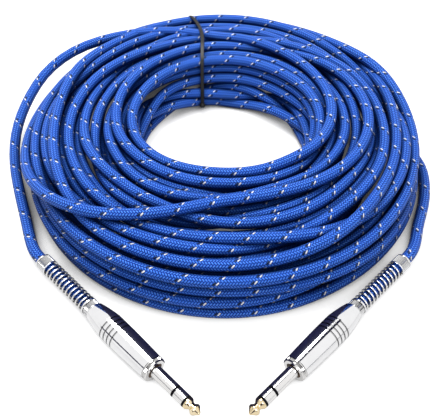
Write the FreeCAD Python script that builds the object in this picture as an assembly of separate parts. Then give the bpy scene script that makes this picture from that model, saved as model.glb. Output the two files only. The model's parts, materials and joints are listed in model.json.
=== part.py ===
import FreeCAD, Part
import math
import os

# Instrument cable: a coiled braided cord with a three-pole 6.35 mm plug at each end.
# Millimetres, +Z up. The origin is on the surface it lies on, under the middle of its footprint.

Vector = FreeCAD.Vector
X_AXIS = Vector(1, 0, 0)
Z_AXIS = Vector(0, 0, 1)

# The cord
CORD_D = 6.5
CORD_R = CORD_D / 2
FLOOR_FLAT = 0.5  # how deep the bottom turns are pressed flat

# The coil, measured from its own centre
COIL_CENTRE = Vector(5.4, 24.75, 0)
OUTER_R = 118.0  # centre line of the outermost turn
INNER_R = 53.0  # centre line of the innermost turn
LAYERS = 4
TURNS_ACROSS = 5.5  # turns from the outermost to the innermost column
STEP_TURNS = 0.5  # a step down to the next layer takes half a turn
COLUMN_PITCH = (OUTER_R - INNER_R) / TURNS_ACROSS
FIRST_TURN = 0.25  # the top outer end is at the back
LAST_TURN = 23.5  # the bottom outer end is at the right
LAYER_PITCH = 9.9  # mean height between layers
FRONT_RAISE = 1.2  # the layers stand this much further apart at the front, and less at the back
TIE_LIFT = 1.8  # the bottom turns rise over the tie
INNER_SHIFT = 1.0  # how far back the innermost bottom turn is centred
SHIFT_PER_LAYER = 3.0  # and how much further back in each layer above
LOOSENESS = 1.6  # how much untied turns differ in radius at the front
LOOSE_RATE = 0.63  # how fast that difference changes, per turn
END_FLARE = 8.0  # the last quarter turn swings this far out to its lead

# The plugs lie flat, tips together, at about 45 degrees to the coil's front
TIP_X = 11.3
TIP_Y = -171.6
AXIS_Z = 7.2
PLUG_ANGLE = {"a": 135.7, "b": 44.3}
PIN_R = 3.175
PIN_LEN = 31.0
TIP_LEN = 8.3
INSULATOR_LEN = 1.2
RING_LEN = 5.8
BARREL_FRONT = 2.3
BARREL_END = 46.5
BARREL_FRONT_R = 6.5
BARREL_MAX_R = 7.2
BARREL_END_R = 5.2
GROOVES = 4
GROOVE_PITCH = 2.6
GROOVE_FIRST = 25.2
GROOVE_W = 1.0
GROOVE_DEPTH = 0.5
FLANGE_R = 6.5
FLANGE_LEN = 2.2
STUB_R = 4.9
STUB_END = 9.2
COLLAR_END = 51.5
COLLAR_R = 4.45
CAP_START = 84.0
CAP_END = 91.5
CAP_R = 4.6
RIM_R = 4.75
CORD_BORE_R = 3.45
SPRING_CURLS = 11
SPRING_WIRE_R = 0.45
SPRING_R = 4.2  # to the middle of the wire
CORD_IN_PLUG = 29.0  # where the cord ends inside the barrel
CORD_OUT = 98.5  # where the straight length behind the plug ends
FIT = 0.03  # radial gap of the pressed inner pieces

# The tie round the coil's back
TIE_X = -15.0
TIE_W = 2.4
TIE_THICK = 0.8
TIE_ROUND = 3.0
TIE_OUTLINE = [(47.6, 0.8), (121.6, 0.8), (121.6, 34.5), (56.8, 34.5)]  # y and z, inside the band
TIE_HEAD = Vector(4.6, 3.6, 4.4)

# Free stretches: the first run is in line with the plug, the last with the coil's end
PLUG_RUN = {"a": 24.0, "b": 22.0}
COIL_RUN = {"a": 43.5, "b": 28.5}
LEAD_MIDDLE = {
    "a": [
        (-131.0, -32.0, 3.6),
        (-136.5, 3.0, 3.3),
        (-135.0, 40.0, 8.0),
        (-122.0, 73.0, 16.5),
        (-94.0, 99.0, 24.0),
    ],
    "b": [],
}


def unit(v):
    return v * (1.0 / v.Length)


def bend_point(start, end, tangent):
    """The middle point of the arc from start to end that leaves start along tangent."""
    chord = end - start
    along = unit(chord)
    side = tangent - along * tangent.dot(along)
    if side.Length < 1e-9:
        return None
    half = math.acos(max(-1.0, min(1.0, tangent.dot(along))))
    return (start + end) * 0.5 + unit(side) * (chord.Length / 2 * math.tan(half / 2))


def bend(start, end, tangent):
    middle = bend_point(start, end, tangent)
    if middle is None:
        return Part.LineSegment(start, end).toShape()
    return Part.Arc(start, middle, end).toShape()


def biarc(p0, t0, p1, t1):
    """Two arcs from p0 to p1 with the tangents t0 and t1, meeting smoothly."""
    v = p1 - p0
    t = t0 + t1
    a = 2 * (1 - t0.dot(t1))
    b = v.dot(t)
    if a < 1e-9:
        d = v.dot(v) / (2 * b)
    else:
        d = (math.sqrt(b * b + a * v.dot(v)) - b) / a
    joint = (p0 + p1 + (t0 - t1) * d) * 0.5
    back = bend_point(p1, joint, t1 * -1)
    first = bend(p0, joint, t0)
    second = Part.Arc(joint, back, p1).toShape() if back else Part.LineSegment(joint, p1).toShape()
    return [first, second]


def tube(edges, start, tangent, radius):
    """A round tube along smooth edges, closed at both ends."""
    ring = Part.Wire(Part.makeCircle(radius, start, tangent))
    spine = Part.Wire(edges)
    return spine.makePipeShell([ring], True, False)


def rounded_route(points, name, radius):
    """Straight runs joined by tangent arcs, each as large as its two runs allow."""
    points = [Vector(p) for p in points]
    edges, radii = [], []
    here = points[0]
    for before, corner, after in zip(points, points[1:], points[2:]):
        run_in, run_out = corner - before, after - corner
        cut = 0.45 * min(run_in.Length, run_out.Length)
        t_in, t_out = unit(run_in), unit(run_out)
        half = math.acos(max(-1.0, min(1.0, t_in.dot(t_out)))) / 2
        start, end = corner - t_in * cut, corner + t_out * cut
        edges.append(Part.LineSegment(here, start).toShape())
        edges.append(bend(start, end, t_in))
        radii.append(cut / math.tan(half))
        here = end
    edges.append(Part.LineSegment(here, points[-1]).toShape())
    solid = tube(edges, points[0], unit(points[1] - points[0]), radius)
    length = sum(e.Length for e in edges)
    print(name, "arc radii", [round(r, 1) for r in radii], "length", round(length, 1),
          "volume over section times length", round(solid.Volume / (math.pi * radius ** 2 * length), 4))
    return solid, length


def coil_place(turn):
    """Layer (3 is the top one) and column (0 is the outermost) after so many turns."""
    layers_done, rest = divmod(turn, TURNS_ACROSS + STEP_TURNS)
    stepped = max(0.0, rest - TURNS_ACROSS) / STEP_TURNS
    column = min(rest, TURNS_ACROSS)
    if layers_done % 2:
        column = TURNS_ACROSS - column
    return LAYERS - 1 - layers_done - stepped, column


def coil_point(turn):
    """A point on the coil's line, which runs left, back, right, front as seen from above."""
    layer, column = coil_place(turn)
    angle = math.pi - 2 * math.pi * turn
    back = math.sin(angle)
    radius = OUTER_R - column * COLUMN_PITCH
    radius += LOOSENESS * (1 - back) / 2 * math.sin(2 * math.pi * LOOSE_RATE * turn)
    bottom = CORD_R - FLOOR_FLAT + TIE_LIFT * max(0.0, back)
    if turn > LAST_TURN - 0.25:
        radius += END_FLARE * (turn - LAST_TURN + 0.25) / 0.25
        bottom += FLOOR_FLAT * (turn - LAST_TURN + 0.25) / 0.25
    shift = column / TURNS_ACROSS * (INNER_SHIFT + SHIFT_PER_LAYER * layer)
    height = bottom + layer * (LAYER_PITCH - FRONT_RAISE * back)
    return Vector(radius * math.cos(angle), shift + radius * back, height)


def coil_stations():
    """Points and directions every quarter turn, with the ends square to the leads."""
    count = round((LAST_TURN - FIRST_TURN) * 4)
    near = 0.02
    stations = []
    for i in range(count + 1):
        turn = FIRST_TURN + i / 4
        direction = unit(coil_point(turn + near) - coil_point(turn - near))
        if i == 0:
            direction = Vector(1, 0, 0)
        if i == count:
            direction = Vector(0, -1, 0)
        stations.append((coil_point(turn), direction))
    return stations


def least_gap(edges, diameter, step):
    """The least distance between stretches of one tube, surface to surface."""
    points, run = [], 0.0
    for edge in edges:
        pieces = max(2, int(edge.Length / step))
        first, last = edge.ParameterRange
        forward = edge.Orientation == "Forward"
        for i in range(pieces):
            share = i / pieces if forward else 1 - i / pieces
            points.append((edge.valueAt(first + (last - first) * share), run + edge.Length * i / pieces))
        run += edge.Length
    cell = 3 * diameter
    cells = {}
    for p, s in points:
        cells.setdefault((int(p.x // cell), int(p.y // cell), int(p.z // cell)), []).append((p, s))
    least = cell
    near = [(i, j, k) for i in (-1, 0, 1) for j in (-1, 0, 1) for k in (-1, 0, 1)]
    for (i, j, k), here in cells.items():
        others = [q for a, b, c in near for q in cells.get((i + a, j + b, k + c), [])]
        for p, s in here:
            for q, r in others:
                if r - s > 2.5 * diameter:
                    least = min(least, p.distanceToPoint(q))
    return least - diameter


def wound(stations, radius, name):
    """One unbroken tube through stations, with a straight end one diameter long at each end."""
    start, start_way = stations[0]
    end, end_way = stations[-1]
    foot = start - start_way * (2 * radius)
    edges = [Part.LineSegment(foot, start).toShape()]
    for (p0, t0), (p1, t1) in zip(stations, stations[1:]):
        edges += biarc(p0, t0, p1, t1)
    edges.append(Part.LineSegment(end, end + end_way * (2 * radius)).toShape())
    solid = tube(edges, foot, start_way, radius)
    length = sum(e.Length for e in edges)
    print(name, "length", round(length, 1), "volume over section times length",
          round(solid.Volume / (math.pi * radius ** 2 * length), 4),
          "least gap to itself", round(least_gap(edges, 2 * radius, 0.6 * radius), 2))
    return solid, length


def coil():
    solid, length = wound(coil_stations(), CORD_R, "coil")
    reach = 2 * OUTER_R
    floor = Part.makeBox(2 * reach, 2 * reach, CORD_D, Vector(-reach, -reach, -CORD_D))
    return solid.cut(floor), length


def outline(start, *steps):
    """A closed outline from points (x, r); a step of two points is an arc through the first."""
    edges = []
    here = Vector(start[0], start[1], 0)
    for step in list(steps) + [start]:
        if isinstance(step[0], tuple):
            middle, end = [Vector(p[0], p[1], 0) for p in step]
            edges.append(Part.Arc(here, middle, end).toShape())
        else:
            end = Vector(step[0], step[1], 0)
            edges.append(Part.LineSegment(here, end).toShape())
        here = end
    return Part.Face(Part.Wire(edges))


def turned(start, *steps):
    """The outline turned about the plug's axis, which is X, with +X to the rear."""
    return outline(start, *steps).revolve(Vector(0, 0, 0), X_AXIS, 360)


def ring_of(x0, x1, inner, outer):
    if inner == 0:
        return Part.makeCylinder(outer, x1 - x0, Vector(x0, 0, 0), X_AXIS)
    return turned((x0, inner), (x0, outer), (x1, outer), (x1, inner))


def knurled(x0, x1, inner, outer, teeth, depth):
    """A ring with straight V grooves all round."""
    points = []
    for i in range(2 * teeth):
        angle = math.pi * i / teeth
        r = outer - (depth if i % 2 else 0)
        points.append(Vector(x0, r * math.cos(angle), r * math.sin(angle)))
    face = Part.Face(Part.makePolygon(points + points[:1]))
    return face.extrude(Vector(x1 - x0, 0, 0)).cut(ring_of(x0 - 1, x1 + 1, 0, inner))


# Where the pin's pieces end, from the tip back
TIP_BACK = TIP_LEN - PIN_LEN
RING_FRONT = TIP_BACK + INSULATOR_LEN
RING_BACK = RING_FRONT + RING_LEN
SLEEVE_FRONT = RING_BACK + INSULATOR_LEN
ROD_R = 0.9
TIP_TUBE_R = 1.35
RING_TUBE_R = 1.8
RING_INSULATION_R = 2.3
FLUSH = 0.01  # how far the insulators lie under the metal
EDGE = 0.12  # the bevel at the metal rings' edges
CUP_FLOOR = 3.0  # the floor of the cup in the plug body's back
CUP_R = 3.9


def tip_contact():
    apex = -PIN_LEN
    rivet_front, rivet_back = 6.62, 7.3
    return turned(
        (apex, 0), ((apex + 0.25, 0.62), (apex + 0.75, 1.05)), (apex + 2.35, 2.55),
        ((apex + 3.15, 2.98), (apex + 4.0, 2.75)), (apex + 4.9, 2.1),
        ((apex + 5.45, 1.95), (apex + 6.0, 2.1)), (apex + 7.1, 2.95), (apex + 7.5, 3.15),
        (TIP_BACK, 3.15), (TIP_BACK, ROD_R), (rivet_front, ROD_R), (rivet_front, 1.5),
        (rivet_back, 1.5), (rivet_back, 0))


def tip_insulator():
    back = 6.0
    return turned(
        (TIP_BACK, ROD_R + FIT), (TIP_BACK, PIN_R - FLUSH), (RING_FRONT, PIN_R - FLUSH),
        (RING_FRONT, TIP_TUBE_R - FIT), (back, TIP_TUBE_R - FIT), (back, ROD_R + FIT))


def ring_contact():
    back = 4.8
    return turned(
        (RING_FRONT, TIP_TUBE_R), (RING_FRONT, PIN_R - EDGE), (RING_FRONT + EDGE, PIN_R),
        (RING_BACK - EDGE, PIN_R), (RING_BACK, PIN_R - EDGE), (RING_BACK, RING_TUBE_R),
        (back, RING_TUBE_R), (back, TIP_TUBE_R))


def ring_insulator():
    return turned(
        (RING_BACK, RING_TUBE_R + FIT), (RING_BACK, PIN_R - FLUSH), (SLEEVE_FRONT, PIN_R - FLUSH),
        (SLEEVE_FRONT, RING_INSULATION_R - FIT), (CUP_FLOOR, RING_INSULATION_R - FIT),
        (CUP_FLOOR, RING_TUBE_R + FIT))


def sleeve_contact():
    """The plug body: the pin's sleeve, a grooved flange with a dished face, and a threaded stub."""
    dish_r, dish_depth, rim = 4.3, 0.5, 0.45
    return turned(
        (SLEEVE_FRONT, RING_INSULATION_R), (SLEEVE_FRONT, PIN_R - EDGE), (SLEEVE_FRONT + EDGE, PIN_R),
        (dish_depth, PIN_R), (dish_depth, dish_r), (0, dish_r + 0.3), (0, FLANGE_R - 0.3),
        (0.3, FLANGE_R), (rim, FLANGE_R), (rim, FLANGE_R - 0.3), (FLANGE_LEN - rim, FLANGE_R - 0.3),
        (FLANGE_LEN - rim, FLANGE_R), (FLANGE_LEN, FLANGE_R), (FLANGE_LEN, STUB_R - 0.35),
        (FLANGE_LEN + 0.6, STUB_R - 0.35), (FLANGE_LEN + 0.95, STUB_R), (STUB_END - 0.4, STUB_R),
        (STUB_END, STUB_R - 0.4), (STUB_END, CUP_R), (CUP_FLOOR, CUP_R), (CUP_FLOOR, RING_INSULATION_R))


LUG_THICK = 0.5
TIP_TAB_Y = -2.8  # outer face of each lug's tab
RING_TAB_Y = 3.4
TAB_END = 14.8
TAB_W = 2.2
STRIP_Z = -4.3


def lug(x0, x1, inner, outer, tab_y, way):
    """A washer with a solder tab running back beside the axis; way is 1 or -1 along Y."""
    washer = ring_of(x0, x1, inner, outer)
    y0 = min(tab_y, tab_y - way * LUG_THICK)
    tab = Part.makeBox(TAB_END - x0, LUG_THICK, TAB_W, Vector(x0, y0, -TAB_W / 2))
    return washer.fuse(tab)


def ring_lug():
    return lug(4.2, 4.7, RING_TUBE_R + FIT, 3.35, RING_TAB_Y, 1)


def tip_lug():
    return lug(6.05, 6.6, ROD_R + FIT, 2.75, TIP_TAB_Y, -1)


def lug_washers():
    front = ring_of(CUP_FLOOR, 4.2, RING_TUBE_R + FIT, CUP_R - 0.05)
    rear = ring_of(4.8, 6.0, RING_TUBE_R + FIT, 2.85)
    return Part.makeCompound([front, rear])


def cable_clamp():
    """The sleeve's lug: a ring on the stub, a strip, and a crimp round the cord's end."""
    seat = ring_of(STUB_END, STUB_END + 0.6, CUP_R + 0.05, 4.75)
    crimp_start, crimp_end = 30.0, 36.0
    strip = Part.makeBox(crimp_end - STUB_END, 3.2, 0.6, Vector(STUB_END, -1.6, STRIP_Z))
    crimp = ring_of(crimp_start, crimp_end, CORD_R + 0.05, 4.0)
    slot = Part.makeBox(8, 1.2, 5, Vector(crimp_start - 1, -0.6, 1.0))
    bore = ring_of(STUB_END - 1, crimp_end + 1, 0, CORD_R + 0.05)
    return seat.fuse([strip, crimp]).cut(bore).cut(slot)


def barrel():
    """The screwed shell: a slim cone, a group of grooves, and a rounded taper to the rear."""
    groove_start = GROOVE_FIRST - GROOVE_W / 2
    steps = [(BARREL_FRONT, BARREL_FRONT_R - 0.25), (BARREL_FRONT + 0.25, BARREL_FRONT_R),
             ((13.0, 6.92), (groove_start, BARREL_MAX_R))]
    for i in range(GROOVES):
        x = GROOVE_FIRST + i * GROOVE_PITCH
        low = BARREL_MAX_R - GROOVE_DEPTH
        if i > 0:
            steps.append((x - GROOVE_W / 2, BARREL_MAX_R))
        steps += [(x - 0.3, low), (x + 0.3, low), (x + GROOVE_W / 2, BARREL_MAX_R)]
    grooves_end = GROOVE_FIRST + (GROOVES - 1) * GROOVE_PITCH + GROOVE_W
    steps += [(grooves_end, BARREL_MAX_R),
              ((grooves_end + 6.5, 6.35), (BARREL_END - 0.3, BARREL_END_R)),
              (BARREL_END, BARREL_END_R - 0.3),
              (BARREL_END, 4.0), (41.6, 4.0), (41.6, 4.9), (38.0, 4.9), (34.0, 5.4), (10.2, 5.4),
              (10.2, 5.0)]
    return turned((BARREL_FRONT, 5.0), *steps)


def barrel_liner():
    return ring_of(10.8, 33.0, 4.95, 5.35)


def spring_collar():
    """Held in the barrel's rear by a lip, with a knurled grip outside and a seat for the spring."""
    core = turned(
        (40.3, CORD_BORE_R), (40.3, 4.7), (41.5, 4.7), (41.5, 3.9), (46.7, 3.9), (46.7, COLLAR_R),
        (47.3, COLLAR_R), (47.3, 4.0), (50.3, 4.0), (50.5, RIM_R), (COLLAR_END, RIM_R),
        (COLLAR_END, CORD_BORE_R))
    return core.fuse(knurled(47.3, 50.3, 3.8, COLLAR_R, 32, 0.2))


def spring_end_cap():
    rim = 0.9
    core = turned(
        (CAP_START, CORD_BORE_R), (CAP_START, RIM_R), (CAP_START + rim, RIM_R),
        (CAP_START + rim, 4.2), (CAP_END - rim, 4.2), (CAP_END - rim, CAP_R),
        (CAP_END - 0.3, CAP_R), (CAP_END, CAP_R - 0.3), (CAP_END, CORD_BORE_R))
    return core.fuse(knurled(CAP_START + rim, CAP_END - rim, 4.0, CAP_R, 32, 0.2))


def strain_spring():
    """The wire leaves each seat straight, bends into the helix, and winds round the cord."""
    wire_d = 2 * SPRING_WIRE_R
    lead_in = 1.5  # from the wire's straight end to the helix
    start = COLLAR_END + wire_d + lead_in
    end = CAP_START - wire_d - lead_in
    pitch = (end - start) / SPRING_CURLS
    slope = pitch / (2 * math.pi * SPRING_R)
    stations = [(Vector(COLLAR_END + wire_d, SPRING_R, 0), X_AXIS)]
    first = 0.12  # the share of a turn that the bend at each end takes
    for i in range(2 * SPRING_CURLS + 1):
        turn = first + i / 2
        angle = 2 * math.pi * turn
        place = Vector(start + pitch * i / 2, SPRING_R * math.cos(angle), SPRING_R * math.sin(angle))
        way = unit(Vector(slope, -math.sin(angle), math.cos(angle)))
        stations.append((place, way))
    angle = 2 * math.pi * (SPRING_CURLS + 2 * first)
    place = Vector(CAP_START - wire_d, SPRING_R * math.cos(angle), SPRING_R * math.sin(angle))
    stations.append((place, X_AXIS))
    return wound(stations, SPRING_WIRE_R, "spring")[0]


def cable_end():
    return ring_of(CORD_IN_PLUG, CORD_OUT, 0, CORD_R)


JACKET_FRONT = 22.0
WIRE_R = 0.55
WIRE_Y = 1.0
TIP_WIRE_Y = -1.6
RING_WIRE_Y = 2.15
PIGTAIL_R = 0.4


def inner_jacket():
    return ring_of(JACKET_FRONT, CORD_IN_PLUG, 0, 2.3)


def wire(y_start, y_end, name):
    route = [(JACKET_FRONT, y_start, 0), (19.5, y_start, 0), (17.2, y_end, 0), (TAB_END, y_end, 0)]
    return rounded_route(route, name, WIRE_R)[0]


def tip_wire():
    return wire(-WIRE_Y, TIP_WIRE_Y, "tip wire")


def ring_wire():
    return wire(WIRE_Y, RING_WIRE_Y, "ring wire")


def shield_pigtail():
    route = [(CORD_IN_PLUG, 0, -2.75), (27, 0, -2.75), (25, 0, -2.95), (23, 0, -2.95)]
    return rounded_route(route, "shield pigtail", PIGTAIL_R)[0]


def solder(x0, x1, y0, y1, z0, z1):
    block = Part.makeBox(x1 - x0, y1 - y0, z1 - z0, Vector(x0, y0, z0))
    front = [e for e in block.Edges if abs(e.CenterOfMass.x - x0) < 1e-6]
    return block.makeFillet(0.3, front)


def solder_joints():
    tab_start = TAB_END - 2.5
    tip = solder(tab_start, TAB_END, TIP_TAB_Y + LUG_THICK, -0.9, -0.9, 0.9)
    ring = solder(tab_start, TAB_END, 1.4, RING_TAB_Y - LUG_THICK, -0.9, 0.9)
    sleeve = solder(20, 23, -1, 1, STRIP_Z + 0.6, -2.45)
    return Part.makeCompound([tip, ring, sleeve])


PLUG_PARTS = {
    "tip_contact": tip_contact,
    "tip_insulator": tip_insulator,
    "ring_contact": ring_contact,
    "ring_insulator": ring_insulator,
    "sleeve_contact": sleeve_contact,
    "tip_lug": tip_lug,
    "ring_lug": ring_lug,
    "lug_washers": lug_washers,
    "cable_clamp": cable_clamp,
    "barrel": barrel,
    "barrel_liner": barrel_liner,
    "spring_collar": spring_collar,
    "strain_spring": strain_spring,
    "spring_end_cap": spring_end_cap,
    "cable_end": cable_end,
    "inner_jacket": inner_jacket,
    "tip_wire": tip_wire,
    "ring_wire": ring_wire,
    "shield_pigtail": shield_pigtail,
    "solder_joints": solder_joints,
}


def plug_way(side):
    """The direction from the plug's tip to its rear."""
    angle = math.radians(PLUG_ANGLE[side])
    return Vector(math.cos(angle), math.sin(angle), 0)


def plug_point(side, x):
    """The point of the plug's axis at x behind the pin's shoulder, from the coil's centre."""
    tip = Vector(-TIP_X if side == "a" else TIP_X, TIP_Y, AXIS_Z)
    return tip + plug_way(side) * (PIN_LEN + x)


def on_plug(shape, side):
    placed = shape.copy()
    placed.rotate(Vector(0, 0, 0), Z_AXIS, PLUG_ANGLE[side])
    placed.translate(plug_point(side, 0))
    return placed


def lead(side, coil_end, coil_way):
    """The free stretch from the plug's straight end to the coil's; coil_way leads out of the coil."""
    start = plug_point(side, CORD_OUT)
    route = [start, start + plug_way(side) * PLUG_RUN[side]]
    route += [Vector(p) for p in LEAD_MIDDLE[side]]
    route += [coil_end + coil_way * COIL_RUN[side], coil_end]
    return rounded_route(route, "lead " + side, CORD_R)


def cable_tie():
    """A thin strap round the whole back of the coil, with its head at the inner bottom edge."""
    inset = []
    middle_y = sum(y for y, z in TIE_OUTLINE) / 4
    middle_z = sum(z for y, z in TIE_OUTLINE) / 4
    for y, z in TIE_OUTLINE:
        inset.append(Vector(0, y - math.copysign(TIE_ROUND, y - middle_y),
                            z - math.copysign(TIE_ROUND, z - middle_z)))
    core = Part.Face(Part.makePolygon(inset + inset[:1]))
    band = core.makeOffset2D(TIE_ROUND + TIE_THICK).cut(core.makeOffset2D(TIE_ROUND))
    strap = band.extrude(Vector(TIE_W, 0, 0))
    strap.translate(Vector(TIE_X - TIE_W / 2, 0, 0))
    y, z = TIE_OUTLINE[0]
    head = Part.makeBox(TIE_HEAD.x, TIE_HEAD.y, TIE_HEAD.z,
                        Vector(TIE_X - TIE_HEAD.x / 2, y - TIE_HEAD.y + 0.2, 0.6))
    return strap.fuse(head)


def write(node, shape):
    shape.translate(COIL_CENTRE)
    solids = len(shape.Solids)
    print(node, "solids", solids, "valid", shape.isValid(), "volume", round(shape.Volume, 1))
    shape.exportStep("parts/%s.step" % node)
    return shape


def main():
    os.makedirs("parts", exist_ok=True)
    written = []
    for name, make in PLUG_PARTS.items():
        shape = make()
        for side in ("a", "b"):
            written.append(write(name + "_" + side, on_plug(shape, side)))
    turns, coil_length = coil()
    stations = coil_stations()
    top, top_way = stations[0]
    bottom, bottom_way = stations[-1]
    lead_a, length_a = lead("a", top - top_way * CORD_D, top_way * -1)
    lead_b, length_b = lead("b", bottom + bottom_way * CORD_D, bottom_way)
    written += [write("coil", turns), write("lead_a", lead_a), write("lead_b", lead_b),
                write("cable_tie", cable_tie())]
    print("cord length", round(coil_length + length_a + length_b + 2 * (CORD_OUT - CORD_IN_PLUG), 1))
    box = Part.makeCompound(written).BoundBox
    print("box", [round(v, 2) for v in (box.XMin, box.XMax, box.YMin, box.YMax, box.ZMin, box.ZMax)])


main()
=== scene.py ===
"""Instrument cable: a tied coil of braided cord with a phone plug at each end.

The file is laid out as a Blender add-on and run as a script. Sizes are in millimetres
until a piece is placed, and the objects are in metres.
"""

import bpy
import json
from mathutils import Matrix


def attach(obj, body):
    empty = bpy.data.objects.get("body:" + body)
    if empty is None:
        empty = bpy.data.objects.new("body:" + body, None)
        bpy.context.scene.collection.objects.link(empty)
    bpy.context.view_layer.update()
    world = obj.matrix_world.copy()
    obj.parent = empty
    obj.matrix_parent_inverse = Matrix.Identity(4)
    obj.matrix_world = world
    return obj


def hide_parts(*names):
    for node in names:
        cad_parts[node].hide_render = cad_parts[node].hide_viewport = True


bl_info = {
    "name": "Instrument cable",
    "version": (1, 0, 0),
    "blender": (4, 5, 0),
    "location": "3D View > Sidebar > Cable",
    "description": "A coiled braided instrument cable with its plugs, its tie and a studio stage",
    "category": "Add Mesh",
}

import json
import math

import bmesh
import bpy
import numpy as np
from bpy.props import FloatProperty, FloatVectorProperty, IntProperty, PointerProperty
from bpy.types import Operator, Panel, PropertyGroup
from mathutils import Matrix, Vector

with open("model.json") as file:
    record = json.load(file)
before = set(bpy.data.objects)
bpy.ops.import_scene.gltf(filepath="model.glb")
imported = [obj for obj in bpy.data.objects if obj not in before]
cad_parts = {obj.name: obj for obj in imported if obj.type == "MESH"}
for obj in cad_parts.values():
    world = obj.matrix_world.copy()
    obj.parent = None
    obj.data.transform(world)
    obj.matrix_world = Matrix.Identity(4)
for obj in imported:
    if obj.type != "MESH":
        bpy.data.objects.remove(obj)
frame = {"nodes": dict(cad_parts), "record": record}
bpy.context.view_layer.update()
NODES = frame["nodes"]

MM = 0.001
SIDES = ("a", "b")
ROOT = "cord_and_contacts"

# Where the coil and the plugs are, as in the part's source
COIL_CENTRE = Vector((5.4, 24.75, 0.0))
CORD_D = 6.5
CORD_R = CORD_D / 2
CORD_BORE_R = 3.45
PLUG_TIP = {"a": (-11.3, -171.6, 7.2), "b": (11.3, -171.6, 7.2)}
PLUG_ANGLE = {"a": 135.7, "b": 44.3}
PIN_LEN = 31.0
# Places along a plug, behind the pin's shoulder
CORD_IN_PLUG = 29.0
COLLAR_START = 40.3
COLLAR_END = 51.5
CORD_IN_SPRING = 62.0
CAP_START = 84.0
CAP_END = 91.5
CORD_OUT = 98.5

# A turn's fraction is its side: 0.25 back, 0.5 right, 0.75 front and 0 left
FIRST_TURN = 0.25
LAST_TURN = 23.5
POINTS_PER_TURN = 96
POINT_EVERY = 2
# How the turns fill the bundle: turn, then radius and height at the front, left, back and right
BUNDLE = [
    (3.1, (114, 18), (120, 16), (118, 18), (119, 18)),
    (4.1, (107, 25), (114, 26), (116, 28), (114, 27)),
    (5.1, (100, 28), (108, 30), (112, 31), (108, 30)),
    (10.6, (57, 30), (65, 30), (67, 29), (66, 30)),
    (11.6, (50, 27), (60, 24), (61, 23), (60, 24)),
    (15.0, (52, 8), (54, 6), (51, 3.3), (54, 6)),
    (15.6, (58, 12), (62, 12), (58, 10), (62, 12)),
    (16.4, (64, 25), (72, 26), (72, 26), (72, 26)),
    (19.2, (101, 23), (105, 25), (108, 27), (105, 25)),
    (20.0, (108, 19), (112, 20), (114, 21), (112, 20)),
    (21.8, (115.5, 11), (116.5, 12), (118, 11), (118.5, 12)),
    (23.5, (117.5, 3.3), (116.5, 3.3), (116, 3.3), (122, 3.3)),
]
# Where the turns lie inside the bundle, out of sight
HIDDEN_TURNS = (16.0, 19.6)
# The turns laid last, on top: turn, radius, height
TOP_TURNS = [
    (0.25, 84, 34.0), (0.5, 66, 34.5), (0.75, 44.0, 33.5), (1.0, 56, 31.0), (1.25, 64, 30.0),
    (1.5, 61, 31.0), (1.75, 51.8, 33.0), (1.88, 56.2, 32.3), (2.0, 66, 32.0), (2.25, 76, 34.0),
    (2.5, 90, 34.5), (2.75, 63, 36.0), (2.9, 112, 30.0), (3.0, 121, 18.0), (3.1, 122, 15.0),
]
BUNDLE_TOP = 36.05
# How the turns settle: shares of a cord's width, of an overlap and of the way back
SETTLING_ROUNDS = 300
SMOOTH_EVERY = 5
CLEARANCE = 1.01
PUSH = 0.35
LIFT_OVER_LATER = 1.5
PULL = 0.02
PULL_LESS_HIDDEN = 0.018
HIDDEN_LIFT = 3.0
# The free stretches between the plugs and the coil
LEAD_A = [
    (-108.5, -73.0, 6.2), (-115.0, -55.5, 5.0), (-123.4, -33.6, 7.0), (-131.1, -10.1, 9.0),
    (-134.3, 14.3, 12.0), (-131.2, 39.6, 16.0), (-121.8, 66.0, 21.0), (-101.0, 84.0, 27.0),
    (-70.0, 92.0, 32.0), (-37.0, 94.5, 33.5), (-16.0, 89.0, 34.0),
]
LEAD_B = [
    (126.0, -10.0, 3.3), (125.8, -22.0, 3.3), (121.7, -40.0, 3.3), (113.0, -59.5, 4.2),
    (108.6, -73.0, 6.0),
]

# The camera looks down on the plugs' tips
CAMERA_PLACE = (1.9, -251.25, 278.0)
CAMERA_TILT = 40.0
SENSOR_WIDTH = 36.0
FOCAL_PIXELS = 600
PICTURE_WIDTH = 434


# Nodes and meshes

class Nodes:
    """A node tree that is being filled."""

    def __init__(self, tree):
        self.tree = tree

    def add(self, kind, inputs=None, **settings):
        node = self.tree.nodes.new(kind)
        for name, value in settings.items():
            setattr(node, name, value)
        for key, value in (inputs or {}).items():
            if isinstance(value, bpy.types.NodeSocket):
                self.link(value, node.inputs[key])
            else:
                node.inputs[key].default_value = value
        return node

    def made(self, kind, inputs=None, **settings):
        """The first output of a new node."""
        return self.add(kind, inputs, **settings).outputs[0]

    def link(self, start, end):
        self.tree.links.new(start, end)

    def math(self, operation, *values):
        return self.made("ShaderNodeMath", dict(enumerate(values)), operation=operation)


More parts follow.
